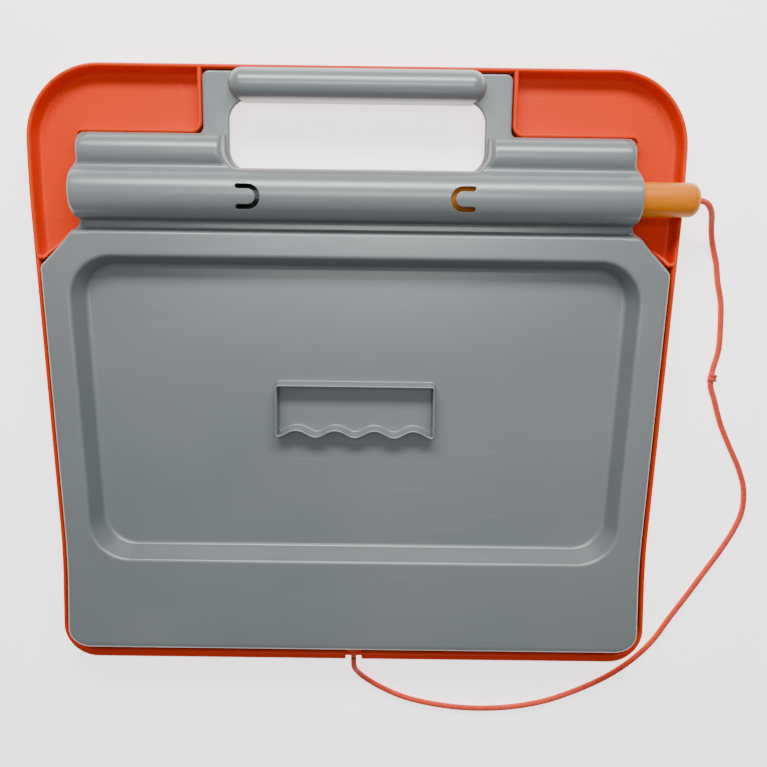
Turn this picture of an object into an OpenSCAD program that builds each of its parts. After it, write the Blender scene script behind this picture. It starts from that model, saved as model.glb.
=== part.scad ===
// Child's magnetic drawing board, lying on its front face.
// Z = 0 is the front lip, +Z the back with the carrying handle, +Y the handle edge.

/* [Board] */
// Width across the handle end
board_w = 394; // [380:1:410]
// Width at the waist near the foot edge
waist_w = 377; // [368:1:382]
// Width across the foot corners
foot_w = 381.6; // [376:0.2:388]
// Height from the foot edge to the handle edge
board_h = 373.6; // [373:0.2:380]
// Radius of the two handle end corners
top_r = 45; // [36:1:50]
// Radius of the two foot corners
foot_r = 22; // [18:1:26]
// Depth of the frame rim
rim_z = 18; // [17:0.2:18.4]
// Thickness of the rim wall
rim_t = 3; // [2.4:0.1:3.2]
// Thickness of the rim wall along the foot
foot_t = 6.3; // [5.6:0.1:6.5]
// Thickness of the front bezel
bezel_t = 3; // [2.6:0.1:3]

/* [Cover] */
// Clear gap between the rim wall and the cover
cover_gap = 1.7; // [1.2:0.1:2]
// Wall thickness of the cover
wall = 2.2; // [1.8:0.1:2.4]
// Height of the raised back
plateau_z = 31; // [29:0.5:32]
// Height of the recess floor
recess_z = 16; // [16:0.2:17]
// Run of the sloping recess wall
recess_run = 5; // [4:0.5:6]
// Height of the finger grip wall
grip_h = 10.5; // [8:0.5:12]
// Radius of the carrying bar
bar_r = 8.9; // [8:0.1:8.9]

/* [Screen and eraser] */
// Width of the drawing window
window_w = 296; // [280:2:300]
// Gap between the screen and the eraser magnet
magnet_gap = 0.4; // [0.3:0.1:0.8]
// Eraser travel along the board
eraser_travel = 256; // [200:2:256]

/* [Pen] */
// Outer diameter of the pen
pen_d = 20; // [18:0.5:20.5]
// Length of the pen
pen_len = 165; // [155:1:180]
// Length of pen that shows beyond the tube
pen_show = 35; // [32:1:38]
// Diameter of the tether cord
cord_d = 3.8; // [3:0.1:3.8]

/* [Hidden] */
$fn = 64;
arc_step = 10;

top_y = board_h / 2 - 0.3;
foot_y = -board_h / 2 - 0.3;
inset = rim_t + cover_gap;
skirt_z = bezel_t + 0.4;
web_z = 20;
lean = 4.4;
shoulder = [-172, 91];
shelf_x = -(board_w / 2 - 1.6 - inset);

open_x = 75.3;
open_y0 = 125.4;
open_y1 = 166;
open_r = 12;

bar_y = 174;
bar_z = 24.5;
bar_x = 75;

tube_y = 111;
tube_z = 29.5;
tube_r = 15;
bore_r = 12.4;
tube_x = 165;
web_x = 168;
ridge_y = 134.6;
ridge_z = 26;
ridge_r = 11;

rec_y0 = -108.9;
rec_y1 = 69.5;
pocket_floor = 7;
tray_floor = 4.4;

win_y0 = -98;
win_y1 = 86;
pan_x = window_w / 2 + 10;
pan_y0 = win_y0 - 10;
pan_y1 = win_y1 + 10;
film_z = bezel_t + 0.4;
core_z = film_z + 0.3;
back_z = core_z + 2.5;
clamp_z = back_z + 0.3;
clamp_t = 2;
screw_x = window_w / 2 + 14;

knob_y = -140;
trough_z = 6;
trough_t = 2.6;
slot_w = 9;
eraser_x = -eraser_travel / 2;
magnet_z = clamp_z + magnet_gap;
bar_bottom = clamp_z + clamp_t + 0.5;
bar_top = 13.4;
shoe_y = 107;

pen_r = pen_d / 2;
pen_x1 = tube_x + pen_show;
pen_x0 = pen_x1 - pen_len;
cord_r = cord_d / 2;

// Route of the tether from the pen to the notch, laid on the surface
lay = cord_r + 0.1;
route = [[196, 111, 29.5], [201, 111, 29.5], [205.5, 110, 28.4], [210, 106.8, 24.5],
  [213.5, 102.5, 18.5], [216.5, 97, 11.5], [219.5, 90.5, 5.8], [222.5, 83, 2.6], [225, 75, lay],
  [227, 63, lay], [230, 50, lay], [231, 35, lay], [231, 20, lay], [228.5, 8, lay],
  [227.5, -2, lay], [231, -13, lay], [236, -28, lay], [243, -43, lay], [250, -57, lay],
  [255, -71, lay], [255.5, -86, lay], [251, -99, lay], [243, -114, lay], [233, -130, lay],
  [223, -146, lay], [212, -163, lay], [202, -179, lay], [189, -193, lay], [173, -205, lay],
  [153, -215.5, lay], [131, -224, lay], [106, -229, lay], [80, -230, lay], [56, -227.5, lay],
  [35, -222.5, lay], [19, -215.5, lay], [8, -208, 3.2], [2.5, -201, 7.2], [0.3, -194.5, 12],
  [0, -188.2, 14]];
mid_knot = [227.9, 2, lay + 1.2];

function unit(v) = v / norm(v);
function wrapped(a) = a > 180 ? a - 360 : (a < -180 ? a + 360 : a);

// Points of one rounded corner at p, between its neighbours a and b
function corner(p, a, b, r) =
  let (u = unit(a - p))
  let (w = unit(b - p))
  let (half = acos(u * w) / 2)
  let (c = p + unit(u + w) * r / sin(half))
  let (s = p + u * r / tan(half) - c)
  let (e = p + w * r / tan(half) - c)
  let (a0 = atan2(s[1], s[0]))
  let (sweep = wrapped(atan2(e[1], e[0]) - a0))
  let (n = max(1, ceil(abs(sweep) / arc_step)))
  [for (i = [0:n]) c + r * [cos(a0 + sweep * i / n), sin(a0 + sweep * i / n)]];

// A polygon of [x, y, radius] corners as plain points
function rounded(q) =
  let (m = len(q))
  [for (i = [0:m - 1])
    let (p = [q[i][0], q[i][1]])
    let (a = q[(i + m - 1) % m])
    let (b = q[(i + 1) % m])
    each (q[i][2] <= 0 ? [p] : corner(p, [a[0], a[1]], [b[0], b[1]], q[i][2]))];

// A left half outline, from the handle edge down, joined to its mirror image
function both(h) = concat(h, [for (i = [len(h) - 1:-1:0]) [-h[i][0], h[i][1], h[i][2]]]);

function box4(x0, x1, y0, y1, r) = rounded([[x0, y1, r], [x0, y0, r], [x1, y0, r], [x1, y1, r]]);

// The outer outline of the board, moved inward by d
function board(d) = rounded(both([[-board_w / 2 + d, top_y - d, top_r - d],
  [-board_w / 2 + d, 112, 600],
  [-waist_w / 2 + d, -114, 500],
  [-foot_w / 2 + d, foot_y + d, foot_r - d]]));

// The inner face of the rim, thicker along the foot
function rim_inside() = rounded(both([[-board_w / 2 + rim_t, top_y - rim_t, top_r - rim_t],
  [-board_w / 2 + rim_t, 112, 600],
  [-waist_w / 2 + rim_t, -114, 500],
  [-foot_w / 2 + rim_t, foot_y + foot_t, foot_r - rim_t]]));

// The raised back below the pen tube, moved inward by d
function lower(d) = rounded(both([[-web_x + d, 97, 0],
  [-web_x + d, 95 - d * 0.4, 0],
  [shoulder[0] + d, shoulder[1] - d * 0.4, 4],
  [shelf_x + d, 69.4 - d * 0.4, 7],
  [-waist_w / 2 + inset + d, -114, 500],
  [-foot_w / 2 + inset + d, foot_y + foot_t + cover_gap + d * 1.5, foot_r - inset - d / 2]]));

// The web that carries the tube, the plates and the bar, moved inward by d
function upper(d) = rounded(both([[-91 + d, 182.1 - d, 3.5],
  [-91 + d, 146.2 - d, 3 + d],
  [-165.5 + d, 146.2 - d, 5],
  [-165.5 + d, 126, 1.5],
  [-web_x + d, 123, 1.5],
  [-web_x + d, 96, 2],
  [shoulder[0] + d, shoulder[1] - 2, 0]]));

function recess(d) = rounded(both([[-(166.1 + d), rec_y1 + d, 20 + d],
  [-(159.1 + d), rec_y0 - d, 20 + d]]));

function opening(d) = box4(-open_x - d, open_x + d, open_y0 - d, open_y1 + d, open_r + d);

// The solid between two outlines of the same number of points
module drafted(low, z0, high, z1) {
  n = len(low);
  polyhedron(
    points = concat([for (p = low) [p[0], p[1], z0]], [for (p = high) [p[0], p[1], z1]]),
    faces = concat([[for (i = [0:n - 1]) i]],
      [for (i = [0:n - 1]) [i, n + i, n + (i + 1) % n]],
      [for (i = [0:n - 1]) [i, n + (i + 1) % n, (i + 1) % n]],
      [[for (i = [n - 1:-1:0]) n + i]]));
}

module slab(outline, z0, z1) {
  translate([0, 0, z0]) {
    linear_extrude(z1 - z0) polygon(outline);
  }
}

module ring(outer, inner, z0, z1) {
  difference() {
    slab(outer, z0, z1);
    slab(inner, z0 - 1, z1 + 1);
  }
}

module along_x(x0, x1) {
  translate([x0, 0, 0]) {
    rotate([90, 0, 90]) linear_extrude(x1 - x0) children();
  }
}

module rod(x0, x1, y, z, r) {
  translate([x0, y, z]) {
    rotate([0, 90, 0]) cylinder(h = x1 - x0, r = r);
  }
}

module block(x0, x1, y0, y1, z0, z1) {
  translate([x0, y0, z0]) cube([x1 - x0, y1 - y0, z1 - z0]);
}

module both_sides() {
  children();
  mirror([1, 0, 0]) children();
}

// ---- front frame ----

function pocket(d) = rounded([[-94.7 - d, 250, 0],
  [-94.7 - d, 149.6 + d, 4],
  [-167 - d, 149.6 + d, 5],
  [-169 - d, 122, 0],
  [-169 - d, 96, 0],
  [-173 - d, 92, 0],
  [-191.2 - d, 70.4 + d, 0],
  [-250, 70.4 + d, 0],
  [-250, 250, 0]]);

module pocket_block(inner, d, z0, z1) {
  intersection() {
    slab(board(inner), z0, z1);
    slab(pocket(d), z0 - 1, z1 + 1);
  }
}

module pocket_wall() {
  slab(rounded([[-94.7, 185, 0],
    [-94.7, 149.6, 4],
    [-167, 149.6, 1],
    [-167, 146.8, 1],
    [-91.6, 146.8, 5],
    [-91.6, 185, 0]]), 0, rim_z);
}

module rounded_rim() {
  difference() {
    union() {
      slab(board(0), 1.4, rim_z - 1);
      slab(board(0.5), 0.4, rim_z - 0.35);
      slab(board(1.4), 0, rim_z);
    }
    slab(rim_inside(), bezel_t, rim_z + 1);
  }
}

module at_screws() {
  for (x = [-120, -40, 40, 120]) {
    translate([x, pan_y1 + 5, 0]) children();
    translate([x, pan_y0 - 5, 0]) children();
  }
  for (y = [-70, 0, 60]) {
    translate([screw_x, y, 0]) children();
    translate([-screw_x, y, 0]) children();
  }
}

module front_frame() color("orangered") difference() {
  union() {
    rounded_rim();
    both_sides() {
      pocket_block(0.6, 0, 1, pocket_floor);
      pocket_wall();
    }
    // wall round the handle opening
    ring(box4(-82.6, 82.6, 116.2, 173, 17), box4(-80.2, 80.2, 118.6, 170.6, 15), 0, 12);
    // knob trough
    slab(box4(-152.6, 152.6, knob_y - 17.6, knob_y + 16.6, 8), 0, trough_z + trough_t);
    // lips that locate the screen
    ring(box4(-pan_x - 2.2, pan_x + 2.2, pan_y0 - 2.2, pan_y1 + 2.2, 3),
      box4(-pan_x - 0.4, pan_x + 0.4, pan_y0 - 0.4, pan_y1 + 0.4, 2), 1, back_z);
    // guide rib of the eraser
    block(-160, 160, shoe_y - 1, shoe_y + 1, 1, 11.5);
    at_screws() translate([0, 0, bezel_t - 0.5]) cylinder(h = clamp_z - bezel_t + 0.5, r = 3);
  }
  both_sides() {
    // trays in the front of the two handle end corners
    pocket_block(6, 4, -1, tray_floor);
  }
  slab(box4(-80.2, 80.2, 118.6, 170.6, 15), -1, 13);
  slab(box4(-window_w / 2, window_w / 2, win_y0, win_y1, 8), -1, bezel_t + 1);
  drafted(box4(-window_w / 2 - 3, window_w / 2 + 3, win_y0 - 3, win_y1 + 3, 11), -0.01,
    box4(-window_w / 2, window_w / 2, win_y0, win_y1, 8), bezel_t - 0.6);
  slab(box4(-150, 150, knob_y - 15, knob_y + 14, 6), -1, trough_z);
  slab(box4(-eraser_travel / 2 - 4.8, eraser_travel / 2 + 4.8, knob_y - slot_w / 2,
    knob_y + slot_w / 2, slot_w / 2 - 0.01), -1, trough_z + trough_t + 1);
  at_screws() translate([0, 0, bezel_t - 1.5]) cylinder(h = 8, r = 1.2);
  // cord notch
  block(-5.2, 5.2, foot_y - 1, foot_y + 8, 11.4, rim_z + 1);
}

// ---- back cover ----

module tongue_slot() {
  // curved cut that frees the tongue which presses on the pen
  translate([0, 109, 36]) {
    difference() {
      union() {
        translate([-61.5, 0, 0]) cylinder(h = 12, r = 7.05);
        translate([-67.2, -7.05, 0]) cube([5.7, 14.1, 12]);
        for (s = [-1, 1]) translate([-67.2, s * 5.7, 0]) cylinder(h = 12, r = 1.35);
      }
      translate([-61.5, 0, -1]) cylinder(h = 14, r = 4.35);
      translate([-70, -4.35, -1]) cube([8.5, 8.7, 14]);
    }
  }
}

module stadium(x, r, z0, z1) {
  translate([0, bar_y, z0]) {
    linear_extrude(z1 - z0) union() {
      square([2 * (x - r), 2 * r], center = true);
      translate([x - r, 0]) circle(r);
      translate([r - x, 0]) circle(r);
    }
  }
}

module bar_form(x, r, z0) {
  stadium(x, r, z0, bar_z);
  rod(r - x, x - r, bar_y, bar_z, r);
  for (s = [-1, 1]) translate([s * (x - r), bar_y, bar_z]) sphere(r);
}

module crest_profile(d) {
  translate([ridge_y, ridge_z]) circle(ridge_r - d);
  translate([ridge_y - ridge_r + d, web_z - d - 0.1]) {
    square([2 * (ridge_r - d), ridge_z - web_z + d]);
  }
}

// Outline of the grip with four finger valleys, moved inward by d
function scallops(d) = concat(
  [for (i = [0:72])
    let (u = (i - 36) / 36)
    [u * (49.6 - d), -33.6 + d - 2.1 * cos(i * 20)]],
  [[49.6 - d, -2 - d], [-49.6 + d, -2 - d]]);

module grip() {
  ring(scallops(0), scallops(1.65), recess_z - 0.5, recess_z + grip_h);
}

module cover_skin() {
  difference() {
    union() {
      slab(lower(0), skirt_z, rim_z - 1);
      drafted(lower(0), rim_z - 1.01, lower(lean), plateau_z);
      slab(upper(0), skirt_z, web_z);
      both_sides() along_x(77.4, 161.5) crest_profile(0);
      block(-tube_x, tube_x, 88, tube_y, web_z - wall, 26);
    }
    // hollow inside
    difference() {
      union() {
        slab(lower(wall), skirt_z - 1, rim_z - 1);
        drafted(lower(wall), rim_z - 1.01, lower(lean + wall), plateau_z - wall);
      }
      block(-200, 200, 87, 120, web_z - wall, 40);
    }
    slab(upper(wall), skirt_z - 1, web_z - wall);
    block(-web_x + wall, web_x - wall, 82, tube_y, skirt_z - 1, web_z - wall);
    block(-tube_x + wall, tube_x - wall, 91.4, 99, skirt_z - 1, 26 - wall);
    both_sides() along_x(79.6, 159.3) crest_profile(wall);
    // groove between the raised back and the tube
    block(-web_x - 8, web_x + 8, 89.2, tube_y, 26, plateau_z + 1);
    // room for the carrying bar
    stadium(bar_x - 1, bar_r - 1, skirt_z - 1, web_z + 4);
  }
}

module bar_shell() {
  difference() {
    bar_form(bar_x, bar_r, 12.5);
    bar_form(bar_x - wall, bar_r - wall, 10);
  }
}

module opening_wall() {
  difference() {
    slab(opening(4.2), 12.4, web_z - 1);
    slab(opening(2.2), 12, web_z + 1);
    block(-100, 100, 100, tube_y + 14, 0, 40);
    stadium(bar_x - 1, bar_r - 1, 10, web_z + 4);
  }
}

module back_cover() color("slategray") union() {
  difference() {
    union() {
      difference() {
        cover_skin();
        slab(opening(0), 0, 60);
      }
      drafted(recess(wall + 0.1), recess_z - wall, recess(wall + recess_run + 0.1), plateau_z);
      rod(-tube_x, tube_x, tube_y, tube_z, tube_r);
      bar_shell();
      opening_wall();
    }
    drafted(recess(0), recess_z, recess(recess_run), plateau_z + 0.1);
    rod(-tube_x + 2.4, tube_x + 0.01, tube_y, tube_z, bore_r);
    rod(tube_x - 1, web_x + 1, tube_y, tube_z, pen_r + 0.8);
    tongue_slot();
    mirror([1, 0, 0]) tongue_slot();
    // way in for the cord
    translate([0, foot_y + 14, 14]) rotate([90, 0, 0]) cylinder(h = 12, r = 2.3);
  }
  grip();
}

// ---- drawing screen ----

module screen_gasket() color("dimgray") {
  ring(box4(-pan_x + 1, pan_x - 1, pan_y0 + 1, pan_y1 - 1, 2),
    box4(-window_w / 2 - 3, window_w / 2 + 3, win_y0 - 3, win_y1 + 3, 6), bezel_t, film_z);
}

module screen_front_film() color("whitesmoke") {
  slab(box4(-pan_x, pan_x, pan_y0, pan_y1, 2), film_z, core_z);
}

module screen_core() color("white") {
  slab(box4(-pan_x + 5, pan_x - 5, pan_y0 + 5, pan_y1 - 5, 2), core_z, back_z);
}

module screen_edge_seal() color("gainsboro") {
  ring(box4(-pan_x, pan_x, pan_y0, pan_y1, 2),
    box4(-pan_x + 5, pan_x - 5, pan_y0 + 5, pan_y1 - 5, 2), core_z, back_z);
}

module screen_back_film() color("whitesmoke") {
  slab(box4(-pan_x, pan_x, pan_y0, pan_y1, 2), back_z, clamp_z);
}

module countersunk_hole() {
  translate([0, 0, clamp_z - 1]) cylinder(h = 4, r = 1.3);
  translate([0, 0, clamp_z + 0.45]) cylinder(h = 1.56, r1 = 1.3, r2 = 2.6);
}

module clamp_edge(y0, y1) {
  difference() {
    slab(box4(-pan_x - 7.4, pan_x + 7.4, y0, y1, 2), clamp_z, clamp_z + clamp_t);
    at_screws() countersunk_hole();
  }
}

module clamp_top() color("silver") clamp_edge(pan_y1 - 6, pan_y1 + 8.6);

module clamp_bottom() color("silver") clamp_edge(pan_y0 - 8.6, pan_y0 + 6);

module clamp_side(s) {
  difference() {
    slab(box4(min(s * (pan_x - 6), s * (pan_x + 7.4)), max(s * (pan_x - 6), s * (pan_x + 7.4)),
      pan_y0 + 6.4, pan_y1 - 6.4, 2), clamp_z, clamp_z + clamp_t);
    at_screws() countersunk_hole();
  }
}

module clamp_left() color("silver") clamp_side(-1);

module clamp_right() color("silver") clamp_side(1);

module clamp_screws() color("dimgray") at_screws() difference() {
  union() {
    translate([0, 0, bezel_t - 1.2]) cylinder(h = clamp_z - bezel_t + 1.8, r = 1.1);
    translate([0, 0, clamp_z + 0.55]) cylinder(h = 1.4, r1 = 1.1, r2 = 2.35);
  }
  translate([-0.3, -1.4, clamp_z + 1.35]) cube([0.6, 2.8, 1]);
  translate([-1.4, -0.3, clamp_z + 1.35]) cube([2.8, 0.6, 1]);
}

// ---- eraser, drawn where it is parked ----

module at_eraser() {
  translate([eraser_x, 0, 0]) children();
}

module eraser_knob() color("gold") at_eraser() difference() {
  union() {
    translate([0, 0, 2.2]) linear_extrude(3.4) polygon(box4(-13, 13, knob_y - 11, knob_y + 11, 5));
    translate([0, 0, 1]) linear_extrude(2) {
      polygon(box4(-11.6, 11.6, knob_y - 9.6, knob_y + 9.6, 4));
    }
    translate([0, knob_y, 5]) cylinder(h = bar_bottom - 5 - 0.02, r = slot_w / 2 - 0.4);
  }
  // thumb grooves across the knob
  for (x = [-6, -2, 2, 6]) {
    translate([x, knob_y, 0.4]) rotate([90, 0, 0]) cylinder(h = 16, r = 1.1, center = true);
  }
  translate([0, knob_y, 4]) cylinder(h = 6, r = 1.4);
}

module eraser_carriage() color("lightgray") at_eraser() difference() {
  union() {
    slab(box4(-16, 16, knob_y - 15, -133, 3), bar_bottom, 12);
    slab(box4(-10, 10, -140, -119, 2), bar_bottom, 11);
    // glide pads beside the slot
    for (s = [-1, 1]) block(s * 12 - 3, s * 12 + 3, knob_y - 12, knob_y + 6, 8.9, bar_bottom + 0.5);
  }
  translate([0, knob_y, bar_bottom - 1]) cylinder(h = 6, r = 1.7);
  translate([0, knob_y, 10.4]) cylinder(h = 3, r = 3.4);
  for (y = [-122.5, -129.5]) translate([0, y, bar_bottom - 1]) cylinder(h = 5, r = 1.2);
}

module eraser_bar() color("lightgray") at_eraser() difference() {
  union() {
    slab(box4(-7, 7, -118, 103, 1.5), bar_bottom, bar_top);
    slab(box4(-7, 7, -132, -110, 1.5), 11.1, bar_top);
  }
  // seat of the magnet strip
  block(-4.3, 4.3, win_y0 - 0.4, win_y1 + 0.4, bar_bottom - 1, 10.2);
  for (y = [-122.5, -129.5]) {
    translate([0, y, 10]) cylinder(h = 5, r = 1.4);
    translate([0, y, 12.2]) cylinder(h = 2, r = 2.7);
  }
  // coring on the back of the bar
  for (y = [-104:22:86]) block(-5, 5, y, y + 19, 11.6, bar_top + 1);
}

module eraser_magnet() color("black") at_eraser() {
  block(-4, 4, win_y0, win_y1, magnet_z, 10.1);
}

module eraser_top_shoe() color("gold") at_eraser() difference() {
  slab(box4(-9, 9, 103.05, 110.8, 1), bar_bottom, bar_top);
  block(-20, 20, shoe_y - 1.4, shoe_y + 1.4, 0, 12);
}

module knob_screw() color("silver") at_eraser() difference() {
  union() {
    translate([0, knob_y, 4.6]) cylinder(h = 6, r = 1.25);
    translate([0, knob_y, 10.45]) cylinder(h = 1.5, r = 3);
  }
  translate([-0.4, knob_y - 2, 11.3]) cube([0.8, 4, 1]);
  translate([-2, knob_y - 0.4, 11.3]) cube([4, 0.8, 1]);
}

module bar_screws() color("silver") at_eraser() {
  for (y = [-122.5, -129.5]) {
    difference() {
      union() {
        translate([0, y, bar_bottom + 0.1]) cylinder(h = 3.4, r = 1.1);
        translate([0, y, 12.25]) cylinder(h = 1.1, r = 2.4);
      }
      translate([-0.3, y - 1.5, 12.8]) cube([0.6, 3, 1]);
    }
  }
}

// ---- pen and tether ----

module pen_half(s) {
  difference() {
    union() {
      rod(pen_x0 + 12, pen_x1 - 6, tube_y, tube_z, pen_r);
      translate([pen_x1 - 6, tube_y, tube_z]) {
        rotate([0, 90, 0]) rotate_extrude() {
          square([pen_r - 6, 6]);
          intersection() {
            translate([pen_r - 6, 0]) circle(6);
            square([pen_r, 6]);
          }
        }
      }
    }
    rod(pen_x0, pen_x1 - 3, tube_y, tube_z, pen_r - 2);
    rod(pen_x1 - 4, pen_x1 + 2, tube_y, tube_z, cord_r + 0.3);
    // the other half, less the thin line where the two are welded
    block(0, 240, s > 0 ? tube_y - 20 : tube_y - 0.02, s > 0 ? tube_y + 0.02 : tube_y + 20, 0, 60);
    // thin groove that shows the weld line
    block(0, pen_x1 - 5, tube_y - 0.25, tube_y + 0.25, tube_z + pen_r - 0.3, 60);
  }
}

module pen_barrel_upper() color("orange") pen_half(1);

module pen_barrel_lower() color("darkorange") pen_half(-1);

module pen_tip_holder() color("darkorange") difference() {
  union() {
    rod(pen_x0 + 11.9, pen_x0 + 22, tube_y, tube_z, pen_r - 2.05);
    translate([pen_x0 + 3, tube_y, tube_z]) {
      rotate([0, 90, 0]) cylinder(h = 8.95, r1 = 4.4, r2 = pen_r - 0.6);
    }
  }
  rod(pen_x0 - 1, pen_x0 + 14, tube_y, tube_z, 3.05);
}

module pen_magnet_tip() color("dimgray") union() {
  rod(pen_x0 + 1.2, pen_x0 + 13.9, tube_y, tube_z, 3);
  translate([pen_x0, tube_y, tube_z]) rotate([0, 90, 0]) cylinder(h = 1.25, r1 = 2, r2 = 3);
}

module pen_stop_knot() color("red") difference() {
  translate([191.6, tube_y, tube_z]) sphere(4.6);
  block(195.8, 200, 100, 120, 20, 40);
}

// One ring of the cord at route point i, square to the route
function tangent(i) = unit(route[min(i + 1, len(route) - 1)] - route[max(i - 1, 0)]);
function side(i) = unit(cross(tangent(i), [0, 0.02, 1]));
function cord_ring(i) = [for (k = [0:7])
  route[i] + cord_r * (cos(k * 45) * side(i) + sin(k * 45) * cross(side(i), tangent(i)))];

module pen_cord() color("orangered") {
  n = len(route);
  polyhedron(
    points = [for (i = [0:n - 1]) each cord_ring(i)],
    faces = concat([[for (k = [0:7]) k]],
      [for (i = [0:n - 2], k = [0:7]) [i * 8 + k, i * 8 + 8 + k, i * 8 + 8 + (k + 1) % 8]],
      [for (i = [0:n - 2], k = [0:7]) [i * 8 + k, i * 8 + 8 + (k + 1) % 8, i * 8 + (k + 1) % 8]],
      [[for (k = [7:-1:0]) n * 8 - 8 + k]]));
}

module cord_mid_knot() color("orangered") difference() {
  translate(mid_knot) sphere(3.1);
  translate(mid_knot - [0, 0, 1.2]) rotate([90, 0, -5.71]) {
    cylinder(h = 10, r = cord_r + 0.05, center = true);
  }
}

module cord_anchor_knot() color("orangered") union() {
  translate([0, foot_y + 17, 14]) sphere(4.2);
  translate([0, foot_y + 17, 14]) rotate([90, 0, 0]) cylinder(h = 17, r = cord_r);
}

front_frame();
back_cover();
screen_gasket();
screen_front_film();
screen_core();
screen_edge_seal();
screen_back_film();
clamp_top();
clamp_bottom();
clamp_left();
clamp_right();
clamp_screws();
cord_anchor_knot();
eraser_knob();
eraser_carriage();
eraser_bar();
eraser_magnet();
eraser_top_shoe();
knob_screw();
bar_screws();
pen_barrel_upper();
pen_barrel_lower();
pen_tip_holder();
pen_magnet_tip();
pen_stop_knot();
pen_cord();
cord_mid_knot();
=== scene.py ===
import math
import bmesh
import bpy
import numpy as np
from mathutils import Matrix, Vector
from mathutils.geometry import delaunay_2d_cdt


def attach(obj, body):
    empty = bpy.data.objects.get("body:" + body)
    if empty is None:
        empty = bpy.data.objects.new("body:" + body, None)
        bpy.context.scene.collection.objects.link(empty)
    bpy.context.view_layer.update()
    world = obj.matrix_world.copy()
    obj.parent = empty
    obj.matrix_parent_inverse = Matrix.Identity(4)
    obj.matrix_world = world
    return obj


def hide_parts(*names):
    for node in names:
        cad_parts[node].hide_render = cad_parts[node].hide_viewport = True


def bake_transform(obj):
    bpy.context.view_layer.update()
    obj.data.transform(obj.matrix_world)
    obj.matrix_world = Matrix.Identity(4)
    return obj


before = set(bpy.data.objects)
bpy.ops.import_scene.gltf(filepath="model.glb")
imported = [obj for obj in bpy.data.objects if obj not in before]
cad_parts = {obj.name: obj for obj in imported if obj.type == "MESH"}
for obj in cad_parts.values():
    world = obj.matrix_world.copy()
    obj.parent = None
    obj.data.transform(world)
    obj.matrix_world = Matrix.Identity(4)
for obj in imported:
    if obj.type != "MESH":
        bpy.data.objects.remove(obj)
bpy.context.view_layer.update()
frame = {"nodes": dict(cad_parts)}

MM = 0.001
scene = bpy.context.scene
nodes = frame["nodes"]


# ---------------------------------------------------------------- camera
cam_data = bpy.data.cameras.new("camera")
cam_data.sensor_fit = "HORIZONTAL"
cam_data.sensor_width = 36.0
cam_data.lens = 37.36
cam_data.clip_start = 0.01
camera = bpy.data.objects.new("camera", cam_data)
camera.location = (0.0164, 0.0777, 0.507)
camera.rotation_euler = (math.radians(-9.25), 0.0, math.radians(0.75))
scene.collection.objects.link(camera)
scene.camera = camera


# ---------------------------------------------------------------- materials
class Graph:
    """A short way to write a shader node tree."""

    def __init__(self, name):
        self.mat = bpy.data.materials.new(name)
        self.mat.use_nodes = True
        self.tree = self.mat.node_tree
        self.tree.nodes.clear()
        self.out = self.tree.nodes.new("ShaderNodeOutputMaterial")
        self.geo = self.tree.nodes.new("ShaderNodeNewGeometry")
        self.coord = self.tree.nodes.new("ShaderNodeTexCoord")
        self.at = self.coord.outputs["Object"]

    def node(self, kind, **sockets):
        made = self.tree.nodes.new(kind)
        for key, value in sockets.items():
            self.feed(made.inputs[key.replace("_", " ")], value)
        return made

    def feed(self, socket, value):
        if isinstance(value, bpy.types.NodeSocket):
            self.tree.links.new(value, socket)
        else:
            socket.default_value = value

    def math(self, what, a, b=0.5, clamp=False):
        made = self.tree.nodes.new("ShaderNodeMath")
        made.operation = what
        made.use_clamp = clamp
        self.feed(made.inputs[0], a)
        self.feed(made.inputs[1], b)
        return made.outputs[0]

    def noise(self, scale, detail=4.0, rough=0.55, distortion=0.0, stretch=None):
        at = self.at
        if stretch:
            mapping = self.node("ShaderNodeMapping", Vector=at, Scale=stretch)
            at = mapping.outputs[0]
        made = self.node("ShaderNodeTexNoise", Vector=at, Scale=scale, Detail=detail,
                         Roughness=rough, Distortion=distortion)
        return made.outputs["Fac"]

    def ramp(self, fac, stops, smooth=False):
        made = self.tree.nodes.new("ShaderNodeValToRGB")
        if smooth:
            made.color_ramp.interpolation = "EASE"
        marks = made.color_ramp.elements
        while len(marks) < len(stops):
            marks.new(0.5)
        for mark, (place, value) in zip(marks, stops):
            mark.position = place
            colour = value if isinstance(value, tuple) else (value, value, value)
            mark.color = (*colour, 1.0)
        self.feed(made.inputs[0], fac)
        return made.outputs[0]

    def mix(self, fac, a, b, mode="MIX"):
        made = self.tree.nodes.new("ShaderNodeMix")
        made.data_type = "RGBA"
        made.blend_type = mode
        self.feed(made.inputs["Factor"], fac)
        self.feed(made.inputs[6], a if isinstance(a, bpy.types.NodeSocket) else (*a, 1.0))
        self.feed(made.inputs[7], b if isinstance(b, bpy.types.NodeSocket) else (*b, 1.0))
        return made.outputs[2]

    def bump(self, height, strength, distance, normal=None):
        made = self.node("ShaderNodeBump", Height=height, Strength=strength, Distance=distance)
        if normal is not None:
            self.feed(made.inputs["Normal"], normal)
        return made.outputs[0]

    def finish(self, colour, roughness, normal=None, **rest):
        shader = self.node("ShaderNodeBsdfPrincipled")
        self.feed(shader.inputs["Base Color"], colour if isinstance(colour, bpy.types.NodeSocket)
                  else (*colour, 1.0))
        self.feed(shader.inputs["Roughness"], roughness)
        if normal is not None:
            self.feed(shader.inputs["Normal"], normal)
        for key, value in rest.items():
            self.feed(shader.inputs[key.replace("_", " ")], value)
        self.tree.links.new(shader.outputs[0], self.out.inputs[0])
        return self.mat


def linear(*rgb):
    """sRGB 0 to 255 as linear."""
    return tuple((c / 255 / 12.92) if c <= 10 else ((c / 255 + 0.055) / 1.055) ** 2.4 for c in rgb)


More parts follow.
